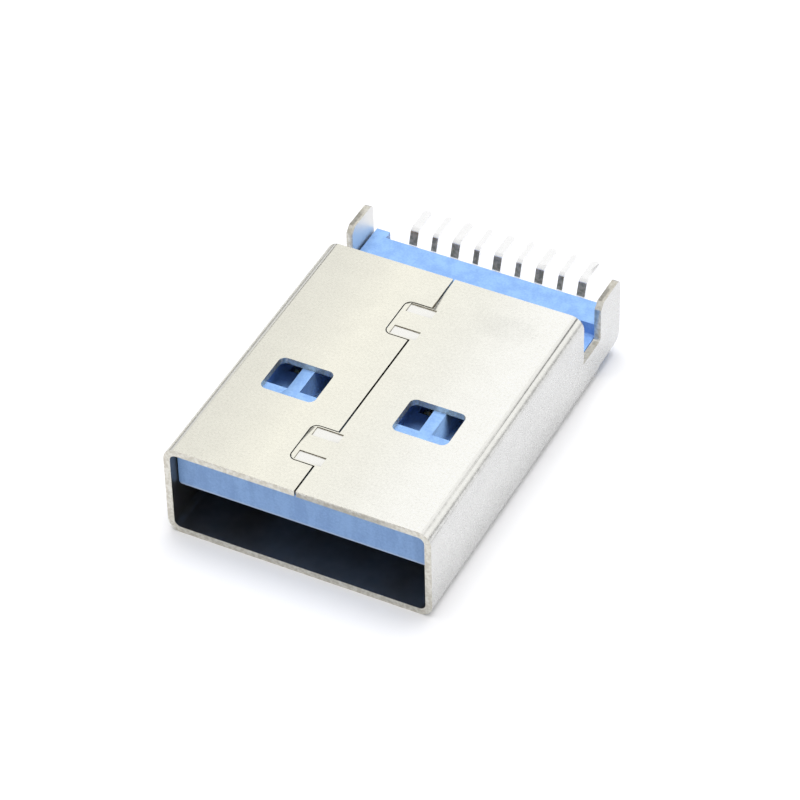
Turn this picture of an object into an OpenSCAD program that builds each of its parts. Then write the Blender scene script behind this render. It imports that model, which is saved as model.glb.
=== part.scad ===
// USB 3 Standard-A plug for a board edge: a folded steel shell round a plastic housing,
// four blade contacts and five spring contacts, with nine solder tails at the rear.
// Millimetres. Z is up, X runs across the plug, and the mouth faces -Y.
// The plug rests on its plain face, with the seamed face up.
// The origin is at the middle of the bounding box, on the plane that the plug rests on.

/* [Shell] */
// Width across the side walls
shell_w = 12; // [11.6:0.1:13]
// Height from the plain face to the seamed face
shell_h = 4.5; // [4.4:0.05:5]
// Thickness of the steel sheet
sheet_t = 0.3; // [0.2:0.02:0.34]
// Outer radius of the four long bends
bend_r = 0.6; // [0.4:0.05:0.8]
// Length of the seamed face, from the mouth
tube_l = 14.35; // [13.5:0.05:14.8]
// Length of the plain face, from the mouth
floor_l = 16; // [15:0.1:16.2]

/* [Windows] */
// Width of a window, across the plug
window_w = 2.5; // [2:0.05:2.8]
// Length of a window, along the plug
window_l = 2.05; // [1.6:0.05:2.4]
// Distance between the middles of the two windows of a face
window_pitch = 6; // [5.4:0.1:6.4]
// Mouth to the front edge of the windows
window_y = 4.88; // [4.4:0.02:5.3]
// Corner radius of a window
window_r = 0.3; // [0.1:0.05:0.6]

/* [Seam] */
// Gap between the two edges of the sheet
seam_gap = 0.08; // [0.04:0.01:0.12]
// Gap round the two tabs, which are pressed home
tab_gap = 0.05; // [0.03:0.01:0.08]
// Reach of a tab across the seam
tab_reach = 1.14; // [0.8:0.02:1.3]
// Length of a tab along the seam
tab_l = 2.16; // [1.7:0.02:2.5]
// Corner radius of a tab
tab_r = 0.28; // [0.1:0.02:0.4]
// Mouth to the front tab
front_tab_y = 1.64; // [1.2:0.02:2]
// Mouth to the rear tab
rear_tab_y = 10.1; // [9.5:0.05:10.8]
// Width of the coined bar along each end of a tab
coin_w = 0.54; // [0.3:0.02:0.7]
// Length of a coined bar across the seam
coin_l = 1.2; // [0.8:0.05:1.3]
// Distance from the end of a tab to its coined bars
coin_inset = 0.2; // [0.1:0.02:0.3]
// Depth of a coined bar
coin_depth = 0.06; // [0.03:0.01:0.1]

/* [Ears] */
// Mouth to the front edge of the ears
ear_front_y = 16.05; // [15.6:0.05:16.3]
// Length of an ear along the plug
ear_l = 1.98; // [1.6:0.02:2.2]
// Height of the top of the ears
ear_top_z = 3.9; // [3.3:0.05:4]
// Height of the lower edge of the ears, clear of the long bends
ear_low_z = 0.62; // [0.4:0.02:0.9]
// Corner radius at the lower rear of an ear
ear_heel_r = 0.5; // [0.2:0.05:0.7]
// Corner radius at the upper rear of an ear
ear_tip_r = 0.3; // [0.1:0.05:0.5]
// Chamfer at the upper front of an ear
ear_chamfer = 0.28; // [0.1:0.02:0.5]
// Height of the side walls between the tube and the ears
notch_z = 2; // [1.6:0.05:2.3]
// Fillet at the foot of an ear
notch_r = 0.16; // [0.05:0.01:0.3]

/* [Housing] */
// Mouth to the front face of the tongue
tongue_front_y = 0.5; // [0.2:0.05:1]
// Thickness of the tongue
tongue_t = 1.94; // [1.7:0.02:2.1]
// Gap between the housing and each side wall of the shell
side_gap = 0.06; // [0.03:0.01:0.12]
// Radius along the lower edges of the tongue
tongue_r = 0.15; // [0.05:0.01:0.3]
// Depth of the mouth, up to the block behind it
mouth_l = 11.75; // [11:0.05:12.2]
// Length of the full-height block
block_l = 2.45; // [2.2:0.05:2.5]
// Mouth to the front wall of the relief slots
relief_y = 5.56; // [5.1:0.02:6]
// Width of the rib between two relief slots
rib_w = 0.55; // [0.3:0.05:0.8]
// Thickness of plastic left under the relief slots
relief_floor_t = 0.5; // [0.35:0.05:0.8]
// Width of the low steps at the ends of the shelf
step_w = 0.7; // [0.4:0.05:0.9]
// Height of those steps
step_z = 1.87; // [1.5:0.01:1.95]

/* [Spacer] */
// Front edge of the ears to the front face of the spacer
spacer_setback = 0.35; // [0.1:0.05:0.6]
// Length of the spacer
spacer_l = 1.35; // [1:0.05:1.6]
// Gap between the spacer and each ear
spacer_gap = 0.08; // [0.04:0.01:0.15]
// Reach of the nib behind the spacer
nib_l = 0.45; // [0.2:0.05:0.8]
// Width of the nib
nib_w = 0.64; // [0.4:0.02:0.9]
// Width of a locating peg
peg_w = 0.7; // [0.4:0.05:0.9]
// Height of a locating peg
peg_h = 0.6; // [0.4:0.05:0.7]
// Length of a locating peg
peg_l = 1.2; // [0.6:0.1:1.6]
// Gap round a peg in its socket
peg_gap = 0.03; // [0.01:0.01:0.05]

/* [Contacts] */
// Thickness of the contact strip
strip_t = 0.2; // [0.15:0.01:0.25]
// Distance between neighbouring tails
tail_pitch = 1; // [0.95:0.01:1.05]
// Height of the middle of the tails where they leave the spacer
tail_z = 1.8; // [1.4:0.05:1.9]
// Height of the board face that the feet are soldered to
board_z = 2.65; // [2.5:0.01:2.8]
// Gap between that board face and the plastic under it
board_gap = 0.2; // [0.1:0.01:0.25]
// Spacer to the top of the upright part of a tail
stub_l = 0.95; // [0.6:0.05:1.1]
// Distance that the upright part leans back over its height
riser_lean = 0.25; // [0:0.05:0.35]
// Length of a foot, from the upright part to its tip
foot_l = 1.3; // [0.9:0.05:1.6]
// Bend radius at the middle of the strip in the tails
tail_bend_r = 0.16; // [0.13:0.01:0.2]
// Width of a blade contact's tail
blade_tail_w = 0.26; // [0.2:0.02:0.36]
// Width of a spring contact's tail
spring_tail_w = 0.38; // [0.3:0.02:0.46]

/* [Blade contacts] */
// Width of the wiping face of a blade contact
blade_w = 1; // [0.8:0.05:1.1]
// Mouth to the front end of the two outer blades
outer_blade_y = 1.4; // [1.2:0.05:2]
// Mouth to the front end of the two inner blades
inner_blade_y = 2.4; // [2.1:0.05:3]
// Mouth to the rear end of the wiping faces
blade_end_y = 7.2; // [6.8:0.05:7.3]
// Distance between the middles of the two inner blades
inner_blade_pitch = 2; // [1.8:0.05:2.2]
// Distance between the middles of the two outer blades
outer_blade_pitch = 7; // [6.7:0.05:7.3]
// Width of the strip behind the wiping face
blade_neck_w = 0.5; // [0.4:0.02:0.6]

/* [Spring contacts] */
// Width of a spring arm
spring_w = 0.6; // [0.5:0.02:0.7]
// Gap on each side of a spring arm in its slot
spring_gap = 0.12; // [0.08:0.01:0.16]
// Mouth to the free tip of the springs
spring_tip_y = 8; // [7.95:0.05:8.3]
// Mouth to the lowest point of the springs
spring_low_y = 8.9; // [8.7:0.05:9.2]
// Depth of the lowest bend below the tongue
spring_drop = 0.4; // [0.3:0.02:0.5]
// Height of the spring arms above the underside of the tongue
arm_rise = 0.95; // [0.85:0.02:1.1]
// Height of the free tips above the underside of the tongue
tip_rise = 0.55; // [0.4:0.05:0.7]
// Length of the ramp from the lowest bend up to the arm
ramp_l = 1.7; // [1.4:0.1:2]

/* [Hidden] */

$fn = 48;
// Overrun of a cut past the face that it goes through
over = 0.5;
inner_w = shell_w - 2 * sheet_t;
ceiling_z = shell_h - sheet_t;
ledge_z = board_z - board_gap;
foot_z = board_z - strip_t / 2;
tongue_z = ceiling_z - tongue_t;
relief_z = tongue_z + strip_t + relief_floor_t;
relief_w = 2 * tail_pitch - rib_w;
// The relief slots run a little way into the block, and the contacts step down behind them
relief_end_y = mouth_l + 0.65;
jog_y = relief_end_y + 0.3;
jog_end_y = jog_y + 0.75;
jog_r = 0.25;
// Bend radii of a spring at its lowest point and at the top of its ramp
low_bend_r = 0.45;
ramp_bend_r = 0.6;
// Length over which a blade narrows behind its wiping face
taper_l = 0.65;
// Clearance in front of the free tip of a spring
tip_gap = 2 * spring_gap;
slot_w = spring_w + 2 * spring_gap;
housing_w = inner_w - 2 * side_gap;
spacer_w = inner_w - 2 * spacer_gap;
spacer_y = ear_front_y + spacer_setback;
spacer_end_y = spacer_y + spacer_l;
riser_y = spacer_end_y + stub_l;
tip_y = riser_y + foot_l;
ear_rear_y = ear_front_y + ear_l;
// The mouth lies half of the whole length in front of the origin
mouth_y = -tip_y / 2;
// Tails are counted from the -X side, and springs have the odd ones
spring_x = [for (i = [-2:2]) 2 * i * tail_pitch];
blade_tail_x = [for (i = [-3, -1, 1, 3]) i * tail_pitch];
blade_x = [-outer_blade_pitch / 2, -inner_blade_pitch / 2, inner_blade_pitch / 2, outer_blade_pitch / 2];
blade_front_y = [outer_blade_y, inner_blade_y, inner_blade_y, outer_blade_y];
// Middle of the peg in width and height
peg_x = housing_w / 2 - step_w / 2 - peg_w / 2;
peg_z = (sheet_t + tail_z - strip_t / 2) / 2;

// ---- Outlines ----

function unit(v) = v / norm(v);

// Points of the arc that replaces the corner at b on the way from a to c
function corner_arc(a, b, c, r, steps = 6) =
    let (u = unit(a - b), v = unit(c - b), half = acos(u * v) / 2,
         start = b + u * r / tan(half), centre = b + unit(u + v) * r / sin(half),
         turn = 180 - 2 * half, side = sign(u[1] * v[0] - u[0] * v[1]), arm = start - centre)
    [for (i = [0:steps]) let (t = side * turn * i / steps)
        centre + [arm[0] * cos(t) - arm[1] * sin(t), arm[0] * sin(t) + arm[1] * cos(t)]];

// A run of points [y, z, bend radius] turned into a smooth path
function bent_path(stops) =
    let (p = [for (s = stops) [s[0], s[1]]], last = len(p) - 1)
    [p[0], for (i = [1:last - 1]) each corner_arc(p[i - 1], p[i], p[i + 1], stops[i][2]), p[last]];

// Offset of point i of a path by d, square to the path
function side_point(path, i, d) =
    let (last = len(path) - 1,
         before = unit(path[max(i, 1)] - path[max(i, 1) - 1]),
         after = unit(path[min(i, last - 1) + 1] - path[min(i, last - 1)]),
         along = unit(before + after), square_to = [-along[1], along[0]])
    path[i] + square_to * d / (along * after);

// Side view of a strip of thickness t along a path
module strip_profile(path, t) {
    last = len(path) - 1;
    polygon(concat(
        [for (i = [0:last]) side_point(path, i, t / 2)],
        [for (i = [last:-1:0]) side_point(path, i, -t / 2)]
    ));
}

// Rectangle w wide from y0 to y1, with corner radii r0 at y0 and r1 at y1
module rounded_rect(w, y0, y1, r0, r1) {
    translate([-w / 2, y0 + r0]) square([w, y1 - r1 - y0 - r0]);
    translate([-w / 2 + r0, y0]) square([w - 2 * r0, y1 - y0 - r1]);
    translate([-w / 2 + r1, y0 + r0]) square([w - 2 * r1, y1 - y0 - r0]);
    for (s = [-1, 1]) {
        translate([s * (w / 2 - r0), y0 + r0]) circle(r0);
        translate([s * (w / 2 - r1), y1 - r1]) circle(r1);
    }
}

// Outline in X and Z, drawn out along Y from y0 to y1
module along_y(y0, y1) {
    translate([0, y1, 0]) rotate([90, 0, 0]) linear_extrude(y1 - y0) children();
}

// Outline in Y and Z, drawn out along X over the whole width w
module across_x(w) {
    rotate([90, 0, 90]) linear_extrude(w, center = true) children();
}

// ---- Shell ----

// Side view of an ear: a plate with a chamfer in front and two round corners behind
module ear_outline() {
    square_top = [ear_front_y + ear_chamfer, ear_top_z];
    polygon(concat(
        [[floor_l - over, ear_low_z]],
        corner_arc([ear_front_y, ear_low_z], [ear_rear_y, ear_low_z], [ear_rear_y, ear_top_z], ear_heel_r),
        corner_arc([ear_rear_y, ear_low_z], [ear_rear_y, ear_top_z], square_top, ear_tip_r),
        [square_top, [ear_front_y, ear_top_z - ear_chamfer], [ear_front_y, notch_z + notch_r]],
        [for (a = [0:-15:-90]) [ear_front_y - notch_r + notch_r * cos(a), notch_z + notch_r + notch_r * sin(a)]],
        [[floor_l - over, notch_z]]
    ));
}

// Side view of everything that is left of the sheet
module shell_outline() {
    square([tube_l, shell_h]);
    square([floor_l, notch_z]);
    ear_outline();
}

// A tab and its mirror image across the seam, grown by a gap all round
module tab_outline(grow) {
    rounded_rect(2 * (tab_reach + grow), -grow, tab_l + grow, tab_r + grow, tab_r + grow);
}

// Plan of the seam: a straight gap that goes round each tab on the -X half of the sheet
module seam_outline() {
    difference() {
        translate([-seam_gap / 2, -over]) square([seam_gap, tube_l + 2 * over]);
        for (y = [front_tab_y, rear_tab_y]) translate([0, y]) tab_outline(0);
    }
    for (y = [front_tab_y, rear_tab_y])
        translate([0, y])
            difference() {
                tab_outline(tab_gap);
                tab_outline(0);
                translate([seam_gap / 2, -over]) square([2 * tab_reach, tab_l + 2 * over]);
            }
}

module shell() {
    color([0.86, 0.85, 0.81])
    translate([0, mouth_y, 0])
    difference() {
        intersection() {
            along_y(0, ear_rear_y)
                difference() {
                    rounded_rect(shell_w, 0, shell_h, bend_r, bend_r);
                    rounded_rect(inner_w, sheet_t, ceiling_z, bend_r - sheet_t, bend_r - sheet_t);
                }
            across_x(shell_w + over) shell_outline();
        }
        for (s = [-1, 1])
            translate([s * window_pitch / 2, 0, -over])
                linear_extrude(shell_h + 2 * over)
                    rounded_rect(window_w, window_y, window_y + window_l, window_r, window_r);
        translate([0, 0, ceiling_z - over]) linear_extrude(sheet_t + 2 * over) seam_outline();
        for (y = [front_tab_y, rear_tab_y], end = [tab_gap, tab_l - tab_gap - coin_w])
            translate([-tab_reach + coin_inset, y + end, shell_h - coin_depth])
                cube([coin_l, coin_w, over]);
    }
}

// ---- Contacts ----

// A flat blank, seen from above, bent to a path seen from the side
module stamped(path) {
    intersection() {
        across_x(shell_w) strip_profile(path, strip_t);
        linear_extrude(shell_h) children();
    }
}

// Last stretch of every contact: through the spacer, up, and back along the board
function tail_stops() = [
    [riser_y - riser_lean, tail_z, tail_bend_r],
    [riser_y, foot_z, tail_bend_r],
    [tip_y, foot_z]
];

module tail_outline(w, y0) {
    translate([-w / 2, y0]) square([w, tip_y - w / 2 - y0]);
    translate([0, tip_y - w / 2]) circle(w / 2);
}

// Blades lie in the underside of the tongue, step down in the block and run out as tails
module blade_body(i) {
    front_y = blade_front_y[i];
    x = blade_x[i];
    tail_x = blade_tail_x[i];
    neck_y = blade_end_y + taper_l;
    run_z = tongue_z + strip_t / 2;
    path = bent_path(concat(
        [[front_y, run_z], [jog_y, run_z, jog_r], [jog_end_y, tail_z, jog_r]],
        tail_stops()
    ));
    stamped(path) {
        translate([x - blade_w / 2, front_y]) square([blade_w, blade_end_y - front_y]);
        polygon([
            [x - blade_w / 2, blade_end_y], [x + blade_w / 2, blade_end_y],
            [tail_x + blade_neck_w / 2, neck_y], [tail_x - blade_neck_w / 2, neck_y]
        ]);
        translate([tail_x - blade_neck_w / 2, neck_y]) square([blade_neck_w, jog_end_y - neck_y]);
        translate([tail_x, 0]) tail_outline(blade_tail_w, neck_y);
    }
}

// Springs reach forward over their slots and dip below the tongue near the tip
module spring_body(i) {
    low_z = tongue_z - spring_drop + strip_t / 2;
    arm_z = tongue_z + arm_rise;
    path = bent_path(concat(
        [[spring_tip_y, tongue_z + tip_rise], [spring_low_y, low_z, low_bend_r]],
        [[spring_low_y + ramp_l, arm_z, ramp_bend_r]],
        [[jog_y, arm_z, jog_r], [jog_end_y, tail_z, jog_r]],
        tail_stops()
    ));
    stamped(path)
        translate([spring_x[i], 0]) {
            translate([-spring_w / 2, spring_tip_y - over])
                square([spring_w, jog_end_y + over - spring_tip_y]);
            tail_outline(spring_tail_w, jog_y);
        }
}

module blade_contact(i) {
    color([0.83, 0.68, 0.35]) translate([0, mouth_y, 0]) blade_body(i);
}

module spring_contact(i) {
    color([0.83, 0.72, 0.45]) translate([0, mouth_y, 0]) spring_body(i);
}

// Everything that the plastic is moulded or pressed round
module all_contacts() {
    for (i = [0:3]) blade_body(i);
    for (i = [0:4]) spring_body(i);
}

// ---- Housing ----

// Block that closes the mouth, and the lower shelf that carries the spacer
module housing_rear() {
    block_end_y = mouth_l + block_l;
    shelf_r = bend_r - sheet_t;
    along_y(mouth_l, block_end_y)
        rounded_rect(housing_w, sheet_t, ceiling_z, shelf_r, shelf_r);
    along_y(block_end_y - over, spacer_y)
        rounded_rect(housing_w, sheet_t, step_z, shelf_r, 0.05);
    translate([-housing_w / 2 + step_w, block_end_y - over, step_z - over])
        cube([housing_w - 2 * step_w, spacer_y - block_end_y + over, ledge_z - step_z + over]);
}

// Relief slots above the springs, with a narrower slot through the tongue for each arm
module housing_slots() {
    for (x = spring_x) {
        translate([x - relief_w / 2, relief_y, relief_z])
            cube([relief_w, relief_end_y - relief_y, ceiling_z]);
        translate([x - slot_w / 2, spring_tip_y - tip_gap, tongue_z - over])
            cube([slot_w, mouth_l - spring_tip_y + tip_gap, ceiling_z]);
    }
}

module pegs(grow) {
    for (s = [-1, 1])
        translate([s * peg_x - peg_w / 2 - grow, spacer_y - peg_l - grow, peg_z - peg_h / 2 - grow])
            cube([peg_w + 2 * grow, peg_l + grow + over, peg_h + 2 * grow]);
}

module housing() {
    color([0.36, 0.6, 0.92])
    translate([0, mouth_y, 0])
    difference() {
        union() {
            along_y(tongue_front_y, mouth_l + over)
                rounded_rect(housing_w, tongue_z, ceiling_z, tongue_r, bend_r - sheet_t);
            housing_rear();
        }
        housing_slots();
        pegs(peg_gap);
        all_contacts();
    }
}

// ---- Spacer ----

module tail_spacer() {
    color([0.4, 0.64, 0.95])
    translate([0, mouth_y, 0])
    difference() {
        union() {
            translate([-spacer_w / 2, spacer_y, sheet_t])
                cube([spacer_w, spacer_l, ledge_z - sheet_t]);
            // The nib marks the -X end
            translate([-spacer_w / 2, spacer_end_y - over, sheet_t])
                cube([nib_w, nib_l + over, ledge_z - sheet_t]);
            intersection() {
                pegs(0);
                translate([-spacer_w / 2, 0, 0]) cube([spacer_w, spacer_y + over, shell_h]);
            }
        }
        all_contacts();
    }
}

shell();
housing();
tail_spacer();
blade_contact(0);  // blade_contact_1
blade_contact(1);  // blade_contact_2
blade_contact(2);  // blade_contact_3
blade_contact(3);  // blade_contact_4
spring_contact(0);  // spring_contact_1
spring_contact(1);  // spring_contact_2
spring_contact(2);  // spring_contact_3
spring_contact(3);  // spring_contact_4
spring_contact(4);  // spring_contact_5
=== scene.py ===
import math

import bpy
import bmesh
from mathutils import Matrix, Vector


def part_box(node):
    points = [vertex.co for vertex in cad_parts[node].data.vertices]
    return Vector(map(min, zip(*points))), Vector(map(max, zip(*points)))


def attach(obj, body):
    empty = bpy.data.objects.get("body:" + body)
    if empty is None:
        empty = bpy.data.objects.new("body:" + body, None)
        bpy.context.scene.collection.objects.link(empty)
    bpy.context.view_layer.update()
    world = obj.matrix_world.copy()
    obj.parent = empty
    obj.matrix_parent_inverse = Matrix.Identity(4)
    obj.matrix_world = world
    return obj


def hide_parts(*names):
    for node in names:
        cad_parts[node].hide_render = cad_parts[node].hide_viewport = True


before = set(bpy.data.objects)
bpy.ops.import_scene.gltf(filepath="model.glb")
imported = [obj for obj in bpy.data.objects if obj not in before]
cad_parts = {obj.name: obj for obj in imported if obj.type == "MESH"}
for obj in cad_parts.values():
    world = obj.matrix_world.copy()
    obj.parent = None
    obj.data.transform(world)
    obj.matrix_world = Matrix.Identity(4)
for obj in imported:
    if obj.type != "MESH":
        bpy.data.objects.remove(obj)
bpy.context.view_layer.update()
bpy.ops.object.select_all(action="DESELECT")


# ---- Camera ----
# A long lens on the mouth end, a little to the right and well above, so that the seamed
# face, the mouth and the right side wall all show.

view_azimuth = math.radians(27.618)
view_elevation = math.radians(41.925)
view_roll = math.radians(-1.465)
view_distance = 0.1611
look_at = Vector((0.00018, -0.00118, 0.00225))

back = Vector((
    math.sin(view_azimuth) * math.cos(view_elevation),
    -math.cos(view_azimuth) * math.cos(view_elevation),
    math.sin(view_elevation),
))
level = Vector((0, 0, 1)).cross(back).normalized()
upright = back.cross(level)
right = level * math.cos(view_roll) + upright * math.sin(view_roll)
up = upright * math.cos(view_roll) - level * math.sin(view_roll)
bpy.ops.object.camera_add()
camera = bpy.context.object
camera.matrix_world = Matrix.Translation(look_at + back * view_distance) @ Matrix(
    (right, up, back)).transposed().to_4x4()
camera.data.lens = 175.2
camera.data.sensor_width = 36
camera.data.clip_start = 0.01
bpy.context.scene.camera = camera
bpy.context.scene.view_settings.view_transform = "Standard"


# ---- Studio ----
# A white sweep below, one broad lamp overhead for the plastic and the faint shadow, and
# a white sky that dims towards the horizon, so that bright metal keeps its outlines.

MM = 0.001


def node(tree, kind, sockets=(), **settings):
    """Adds a shader node; sockets gives each input a value or another node's output."""
    made = tree.nodes.new("ShaderNode" + kind)
    for name, value in settings.items():
        setattr(made, name, value)
    for name, value in dict(sockets).items():
        if isinstance(value, bpy.types.NodeSocket):
            tree.links.new(value, made.inputs[name])
        else:
            made.inputs[name].default_value = value
    return made


def maths(tree, operation, a, b=0.0):
    return node(tree, "Math", {0: a, 1: b}, operation=operation).outputs[0]


def ramp_to(tree, value, low, high, to_low=0.0, to_high=1.0):
    """A value taken smoothly from one range to another, and held at both ends."""
    return node(tree, "MapRange", {
        "Value": value, "From Min": low, "From Max": high, "To Min": to_low, "To Max": to_high,
    }, interpolation_type="SMOOTHSTEP").outputs[0]


world = bpy.data.worlds.new("studio")
bpy.context.scene.world = world
world.use_nodes = True
tree = world.node_tree
tree.nodes.clear()
paths = node(tree, "LightPath")
way = node(tree, "TexCoord").outputs["Generated"]
height = node(tree, "SeparateXYZ", {0: way}).outputs["Z"]


def soft_box(towards, inner, outer):
    """One round patch of the sky, from 1 inside the inner angle to 0 outside the outer one."""
    facing = node(tree, "VectorMath", {0: way, 1: Vector(towards).normalized()},
                  operation="DOT_PRODUCT").outputs["Value"]
    return ramp_to(tree, facing, math.cos(math.radians(outer)), math.cos(math.radians(inner)))


sheen_sky = ramp_to(tree, height, 0.0, 0.75, 0.42, 0.86)
sheen_sky = maths(tree, "MAXIMUM", sheen_sky, soft_box((-0.3, 0.66, 0.69), 26, 44))
sheen_sky = maths(tree, "MAXIMUM", sheen_sky, soft_box((0.6, 0.66, 0.45), 10, 26))
seen = maths(tree, "MAXIMUM", paths.outputs["Is Glossy Ray"], paths.outputs["Is Transmission Ray"])
sky_strength = node(tree, "Mix", {"Factor": seen, "A": 0.36, "B": sheen_sky}).outputs["Result"]
sky_strength = node(tree, "Mix", {
    "Factor": paths.outputs["Is Camera Ray"], "A": sky_strength, "B": 1.0}).outputs["Result"]
sky = node(tree, "Background", {"Color": (1, 1, 1, 1), "Strength": sky_strength})
node(tree, "OutputWorld", {"Surface": sky.outputs[0]})

bpy.ops.mesh.primitive_plane_add(size=0.9)
floor = bpy.context.object
floor.name = "floor"
sweep = bpy.data.materials.new("white_sweep")
sweep.use_nodes = True
tree = sweep.node_tree
tree.nodes.clear()
paths = node(tree, "LightPath")
lift = node(tree, "Emission", {
    "Color": (1, 1, 1, 1), "Strength": maths(tree, "MULTIPLY", paths.outputs["Is Camera Ray"], 0.13)})
paper = node(tree, "BsdfDiffuse", {"Color": (0.9, 0.9, 0.92, 1)})
both = node(tree, "AddShader", {0: paper.outputs[0], 1: lift.outputs[0]})
node(tree, "OutputMaterial", {"Surface": both.outputs[0]})
floor.data.materials.append(sweep)

bpy.ops.object.light_add(type="AREA", location=(-0.01, 0.05, 0.42))
lamp = bpy.context.object
lamp.data.shape = "DISK"
lamp.data.size = 0.4
lamp.data.energy = 1.75
lamp.rotation_euler = lamp.location.to_track_quat("Z", "Y").to_euler()
lamp.visible_glossy = False


# ---- Contacts ----
# Nine strips of copper alloy, stamped and bent: four flat blades and five springs, which
# wipe the socket's contacts. Gold inside the mouth, and bright tin on the solder tails.


def shader_of(name):
    """A new material, with its tree, its Principled shader and its Object coordinates."""
    material = bpy.data.materials.new(name)
    material.use_nodes = True
    tree = material.node_tree
    return material, tree, tree.nodes["Principled BSDF"], node(tree, "TexCoord").outputs["Object"]


def speckle(tree, place, size, detail=2.0):
    """Cloudy noise whose blotches are about the given size, from about 0.3 to 0.7."""
    return node(tree, "TexNoise", {
        "Vector": place, "Scale": 1 / size, "Detail": detail}).outputs["Fac"]


def tinted(tree, factor, low, high):
    """A colour between two, by the factor."""
    return node(tree, "Mix", {"Factor": factor, "A": (*low, 1), "B": (*high, 1)},
                data_type="RGBA").outputs["Result"]


def copy_of(source_name, name):
    """A copy of a solid with its triangles joined, a thousand times larger to be shaped."""
    bpy.ops.object.select_all(action="DESELECT")
    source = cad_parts[source_name]
    source.select_set(True)
    bpy.context.view_layer.objects.active = source
    bpy.ops.object.duplicate()
    piece = bpy.context.object
    piece.name = name
    piece.data.materials.clear()
    bpy.ops.object.mode_set(mode="EDIT")
    bpy.ops.mesh.select_all(action="SELECT")
    bpy.ops.transform.resize(value=(1000, 1000, 1000), center_override=(0, 0, 0))
    bpy.ops.mesh.remove_doubles(threshold=0.0005)
    bpy.ops.mesh.dissolve_limited(angle_limit=math.radians(0.5), delimit={"NORMAL"})
    bpy.ops.mesh.select_all(action="DESELECT")
    return piece


def round_edges(piece, width, steps=2, where=lambda middle: True, finish=-1):
    """Bevels the sharp edges whose middle is in the given place, by at most the given width.

    All of them are narrowed together to suit the shortest edge.
    """
    mesh = bmesh.from_edit_mesh(piece.data)
    for edge in mesh.edges:
        middle = (edge.verts[0].co + edge.verts[1].co) / 2
        edge.select_set(edge.is_manifold and edge.calc_face_angle() > math.radians(40) and where(middle))
    mesh.select_flush(False)
    bmesh.update_edit_mesh(piece.data)
    bpy.ops.mesh.bevel(offset=width, segments=steps, affect="EDGES", clamp_overlap=True, material=finish)
    bpy.ops.mesh.select_all(action="DESELECT")


def finish_piece(piece, stands_for, materials):
    """Brings a shaped copy back to its real size and puts it in place of its solid."""
    bpy.ops.mesh.select_all(action="SELECT")
    bpy.ops.transform.resize(value=(MM, MM, MM), center_override=(0, 0, 0))
    bpy.ops.object.mode_set(mode="OBJECT")
    bpy.ops.object.shade_smooth_by_angle(angle=math.radians(50))
    piece.modifiers.new("flat_faces_stay_flat", "WEIGHTED_NORMAL").keep_sharp = True
    bpy.ops.object.modifier_apply(modifier="flat_faces_stay_flat")
    for material in materials:
        piece.data.materials.append(material)
    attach(piece, "root")
    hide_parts(stands_for)


strip_metal, tree, shader, place = shader_of("gold_and_tin_plating")
along = node(tree, "SeparateXYZ", {0: place}).outputs["Y"]
gold = tinted(tree, speckle(tree, place, 0.4 * MM), (0.78, 0.53, 0.19), (0.88, 0.66, 0.30))
tin = tinted(tree, speckle(tree, place, 0.15 * MM), (0.95, 0.95, 0.95), (1, 1, 1))
plating = node(tree, "Mix", {
    "Factor": ramp_to(tree, along, 2.0 * MM, 2.6 * MM), "A": gold, "B": tin}, data_type="RGBA")
tree.links.new(plating.outputs["Result"], shader.inputs["Base Color"])
strip_gloss = ramp_to(tree, speckle(tree, place, 0.1 * MM), 0.3, 0.7, 0.2, 0.34)
tree.links.new(strip_gloss, shader.inputs["Roughness"])
shader.inputs["Metallic"].default_value = 1

sheared_tin, tree, shader, place = shader_of("sheared_strip_edge")
sheared_tint = tinted(tree, speckle(tree, place, 0.12 * MM), (0.20, 0.20, 0.20), (0.38, 0.38, 0.38))
tree.links.new(sheared_tint, shader.inputs["Base Color"])
shader.inputs["Metallic"].default_value = 1
shader.inputs["Roughness"].default_value = 0.35

# The front of the upright part of a tail has a dark copper tone, painted shade for the dark gap it
# reflects, which looks grey beside the blue
riser_shade_copper, tree, shader, place = shader_of("painted_shade_copper_strip")
riser_shade_tint = tinted(tree, ramp_to(tree, speckle(tree, place, 0.18 * MM, 3), 0.35, 0.65),
                     (0.50, 0.35, 0.22), (0.80, 0.57, 0.37))
tree.links.new(riser_shade_tint, shader.inputs["Base Color"])
shader.inputs["Metallic"].default_value = 1
shader.inputs["Roughness"].default_value = 0.4

tail_start_y = 4

for name in sorted(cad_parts):
    if "_contact_" in name:
        strip = copy_of(name, name + "_strip")
        # The fronts of the upright tails take the dark copper, painted shade
        mesh = bmesh.from_edit_mesh(strip.data)
        for face in mesh.faces:
            if face.normal.y < -0.9 and face.calc_center_median().y > tail_start_y:
                face.material_index = 2
        bmesh.update_edit_mesh(strip.data)
        round_edges(strip, 0.036, finish=1)
        finish_piece(strip, name, (strip_metal, sheared_tin, riser_shade_copper))


# ---- Housing and spacer ----
# Two mouldings in blue liquid-crystal polymer. The housing is pushed into the shell from
# behind, and the spacer is pressed over the tails between the ears.

blue, tree, shader, place = shader_of("blue_moulding")
drawn_out = node(tree, "Mapping", {"Vector": place, "Scale": (1, 1, 0.25)}).outputs[0]
flow = speckle(tree, drawn_out, 0.5 * MM, 5)
mottle = speckle(tree, place, 0.09 * MM, 3)
cloud = maths(tree, "ADD", maths(tree, "MULTIPLY", flow, 0.6), maths(tree, "MULTIPLY", mottle, 0.4))
body_tint = tinted(tree, ramp_to(tree, cloud, 0.36, 0.64), (0.235, 0.425, 0.80), (0.315, 0.54, 0.93))
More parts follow.
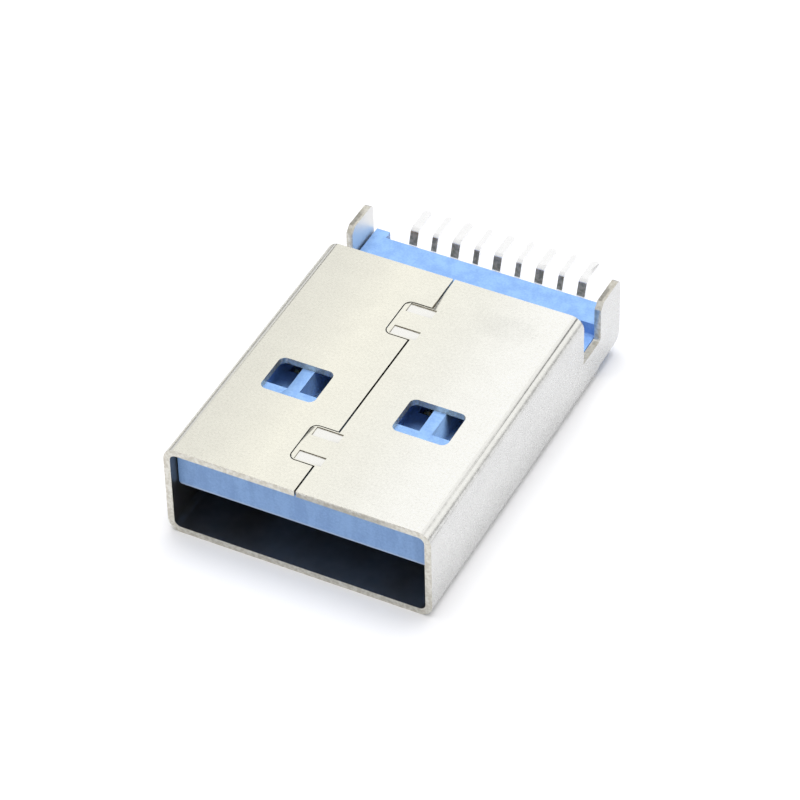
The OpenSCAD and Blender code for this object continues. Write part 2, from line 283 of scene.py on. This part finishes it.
# A paler edge along the lower front of the tongue, a painted highlight
tongue_front_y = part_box("housing")[0][1]
tongue_foot_z = 2.26 * MM
axes = node(tree, "SeparateXYZ", {0: place})
at_front = ramp_to(
    tree, axes.outputs["Y"], tongue_front_y + 0.05 * MM, tongue_front_y + 0.09 * MM, 1, 0)
at_foot = ramp_to(
    tree, axes.outputs["Z"], tongue_foot_z + 0.05 * MM, tongue_foot_z + 0.1 * MM, 1, 0)
painted_edge_highlight = maths(tree, "MULTIPLY", maths(tree, "MULTIPLY", at_front, at_foot), 0.6)
body_and_highlight_tint = node(tree, "Mix", {
    "Factor": painted_edge_highlight, "A": body_tint, "B": (0.62, 0.72, 0.92, 1)}, data_type="RGBA").outputs["Result"]
tree.links.new(body_and_highlight_tint, shader.inputs["Base Color"])
shader.inputs["Roughness"].default_value = 0.44
dimples = node(tree, "Bump", {
    "Strength": 0.25, "Distance": 0.006 * MM, "Height": speckle(tree, place, 0.05 * MM)})
tree.links.new(dimples.outputs[0], shader.inputs["Normal"])

for name in ("housing", "tail_spacer"):
    moulding = copy_of(name, name + "_moulding")
    round_edges(moulding, 0.035)
    finish_piece(moulding, name, (blue,))


# ---- Shell ----
# One sheet of steel, blanked, folded into a tube and locked along the seam by two tabs,
# then plated with satin nickel. The two ears behind it are soldered into the board.

shell_low, shell_high = (Vector(corner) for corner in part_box("shell"))
half_height = (shell_high.z - shell_low.z) / 2

satin_nickel, tree, shader, place = shader_of("satin_nickel")
axes = node(tree, "SeparateXYZ", {0: place})
across, upwards = axes.outputs["X"], axes.outputs["Z"]
from_middle = maths(tree, "ABSOLUTE", maths(tree, "SUBTRACT", upwards, half_height))
# The broad faces are painted to brighten from the -X side to the +X side, as painted light and shade
painted_light_ramp = node(tree, "ValToRGB", {"Fac": ramp_to(tree, across, -5.9 * MM, 5.9 * MM)})
stops = painted_light_ramp.color_ramp.elements
stops[0].color = (0.80, 0.785, 0.70, 1)
stops[1].color = (0.99, 0.985, 0.94, 1)
for at, colour in ((0.25, (0.93, 0.91, 0.80)), (0.5, (0.91, 0.895, 0.80)), (0.75, (0.905, 0.895, 0.82))):
    stops.new(at).color = (*colour, 1)
# The side walls are smoother, and painted darker and greyer as shade
on_face = ramp_to(tree, from_middle, 1.75 * MM, 2.1 * MM)
wall_shade_tint = tinted(tree, speckle(tree, place, 1.2 * MM), (0.73, 0.73, 0.715), (0.76, 0.76, 0.745))
body_tint = node(tree, "Mix", {
    "Factor": on_face, "A": wall_shade_tint, "B": painted_light_ramp.outputs["Color"]}, data_type="RGBA").outputs["Result"]
# Fine pearl grain of the plating
grain = speckle(tree, place, 0.1 * MM, 1.5)
patches = speckle(tree, place, 0.9 * MM, 4)
grain_depth = ramp_to(tree, on_face, 0, 1, 0.03, 0.36)
shade = maths(tree, "MULTIPLY", maths(tree, "SUBTRACT", grain, 0.5), grain_depth)
shade = maths(tree, "ADD", shade, maths(tree, "MULTIPLY", maths(tree, "SUBTRACT", patches, 0.5), 0.1))
# Two darker lines along each long bend, painted reflections
corner_x = maths(tree, "SUBTRACT", maths(tree, "ABSOLUTE", across), 5.4 * MM)
corner_z = maths(tree, "SUBTRACT", from_middle, 1.65 * MM)
turn = maths(
    tree, "ARCTAN2", maths(tree, "MAXIMUM", corner_x, 0), maths(tree, "MAXIMUM", corner_z, 0.00001))
bend_reflection_lines = node(tree, "ValToRGB", {"Fac": maths(tree, "DIVIDE", turn, math.pi / 2)})
stops = bend_reflection_lines.color_ramp.elements
stops[0].color = (0, 0, 0, 1)
stops[1].color = (0, 0, 0, 1)
for at, depth in ((0.12, 0), (0.26, 1), (0.38, 0.15), (0.48, 0.15), (0.6, 0.8), (0.82, 0.12)):
    stops.new(at).color = (depth, depth, depth, 1)
bend_line_depth = ramp_to(tree, speckle(tree, place, 0.2 * MM, 3), 0.35, 0.65, 0.12, 0.36)
shade = maths(tree, "SUBTRACT", shade, maths(tree, "MULTIPLY", bend_reflection_lines.outputs["Color"], bend_line_depth))
# A faint darker patch near the rear of the seamed face
rear_patch_place = node(tree, "Mapping", {
    "Vector": place, "Location": (-3.3 * 0.55, -2.5, -4.5), "Scale": (550, 1000, 1000)})
rear_patch_reach = node(tree, "VectorMath", {0: rear_patch_place.outputs[0]}, operation="LENGTH").outputs["Value"]
rear_patch_wander = maths(tree, "MULTIPLY", speckle(tree, place, 0.5 * MM, 4), 0.9)
rear_patch_reach = maths(tree, "ADD", rear_patch_reach, rear_patch_wander)
rear_dark_patch = ramp_to(tree, rear_patch_reach, 0.9, 1.5, 0.055, 0)
shade = maths(tree, "ADD", maths(tree, "SUBTRACT", shade, rear_dark_patch), 1)
shaded = node(tree, "VectorMath", {0: body_tint, "Scale": shade}, operation="SCALE").outputs["Vector"]
tree.links.new(shaded, shader.inputs["Base Color"])
shader.inputs["Metallic"].default_value = 1
gloss = ramp_to(tree, grain, 0.3, 0.7, 0.24, 0.36)
tree.links.new(gloss, shader.inputs["Roughness"])
pearl = node(tree, "Bump", {
    "Strength": ramp_to(tree, on_face, 0, 1, 0.06, 0.4), "Distance": 0.006 * MM, "Height": grain})
tree.links.new(pearl.outputs[0], shader.inputs["Normal"])

# Inside the tube the metal is painted dark as shade, and on the ears behind it, as bright as outside
inside_nickel, tree, shader, place = shader_of("painted_shade_nickel_inside")
inside_shade_tint = tinted(tree, speckle(tree, place, 0.5 * MM, 4), (0.20, 0.20, 0.205), (0.30, 0.295, 0.285))
rearward = node(tree, "SeparateXYZ", {0: place}).outputs["Y"]
ear_tint = node(tree, "Mix", {
    "Factor": ramp_to(tree, rearward, 4.6 * MM, 5.2 * MM), "A": inside_shade_tint, "B": (0.9, 0.89, 0.85, 1),
}, data_type="RGBA").outputs["Result"]
tree.links.new(ear_tint, shader.inputs["Base Color"])
shader.inputs["Metallic"].default_value = 1
shader.inputs["Roughness"].default_value = 0.42

# Where the sheet was cut, the surface is matt and a little warmer
cut_edge, tree, shader, place = shader_of("cut_sheet_edge")
cut_tint = tinted(tree, ramp_to(tree, speckle(tree, place, 0.15 * MM, 4), 0.35, 0.65),
                  (0.66, 0.63, 0.55), (0.82, 0.80, 0.73))
tree.links.new(cut_tint, shader.inputs["Base Color"])
shader.inputs["Metallic"].default_value = 1
shader.inputs["Roughness"].default_value = 0.5

# The corners of a cut, and the cut faces of the seam, are painted dark to outline them: painted shade in
# the seam's gap, and a painted dark reflection along the corners
dark_edge_paint, tree, shader, place = shader_of("painted_dark_sheet_corner")
dark_edge_tint = tinted(tree, ramp_to(tree, speckle(tree, place, 0.3 * MM, 3), 0.35, 0.65),
                   (0.22, 0.19, 0.13), (0.44, 0.41, 0.33))
tree.links.new(dark_edge_tint, shader.inputs["Base Color"])
shader.inputs["Metallic"].default_value = 1
shader.inputs["Roughness"].default_value = 0.3

# The coined bars are pressed flat, and are brighter than the grain round them
pressed_bar, tree, shader, place = shader_of("pressed_bar")
bar_tint = tinted(tree, speckle(tree, place, 0.12 * MM), (0.91, 0.90, 0.86), (0.97, 0.965, 0.93))
tree.links.new(bar_tint, shader.inputs["Base Color"])
shader.inputs["Metallic"].default_value = 1
shader.inputs["Roughness"].default_value = 0.26

sheet = copy_of("shell", "shell_sheet")
mesh = bmesh.from_edit_mesh(sheet.data)
top = shell_high.z / MM
sheet_t = 0.3
near = 0.01
side_x = 5.99
inner_x = 5.7
bend_start_x = 5.3
seam_reach_x = 1.35
OUTER, INNER, CUT, DARK, BAR = range(5)
for face in mesh.faces:
    middle, facing = face.calc_center_median(), face.normal
    outwards = facing.x * middle.x + facing.z * (middle.z - top / 2) > 0
    from_skin = min(middle.z, top - middle.z)
    in_seam = abs(middle.x) < seam_reach_x and middle.z > top - sheet_t and middle.y > -9.9
    # The seam's cut faces take the dark material, painted shade of the gap
    if in_seam and abs(facing.z) < 0.3:
        face.material_index = DARK
    elif abs(facing.y) > 0.5:
        face.material_index = CUT
    elif facing.z > 0.9 and 0.02 < top - middle.z < 0.1:
        face.material_index = BAR
    elif abs(middle.x) > side_x or from_skin < near:
        face.material_index = OUTER
    elif not outwards and (
            abs(abs(middle.x) - inner_x) < near or abs(from_skin - sheet_t) < near):
        face.material_index = INNER if middle.y < 6 else OUTER
    elif abs(facing.x) < 0.99 and abs(facing.z) < 0.99 and abs(middle.x) > bend_start_x:
        face.material_index = OUTER if outwards else INNER
    else:
        face.material_index = CUT
bmesh.update_edit_mesh(sheet.data)


def in_window(middle):
    return 1.5 < abs(middle.x) < 4.5 and -5.3 < middle.y < -2.9


def at_seam(middle):
    return abs(middle.x) < seam_reach_x and middle.z > top - 0.35 and middle.y < 4.34


def outside(middle):
    return min(middle.z, top - middle.z) < near or abs(middle.x) > side_x


def elsewhere(middle):
    return not in_window(middle) and not at_seam(middle)


round_edges(sheet, 0.09, 3, lambda middle: in_window(middle) and outside(middle))
round_edges(sheet, 0.03, 2, at_seam)
# The other bevels take the dark material, a painted dark reflection
round_edges(sheet, 0.055, 2, elsewhere, finish=DARK)
finish_piece(sheet, "shell", (
    satin_nickel, inside_nickel, cut_edge, dark_edge_paint, pressed_bar))
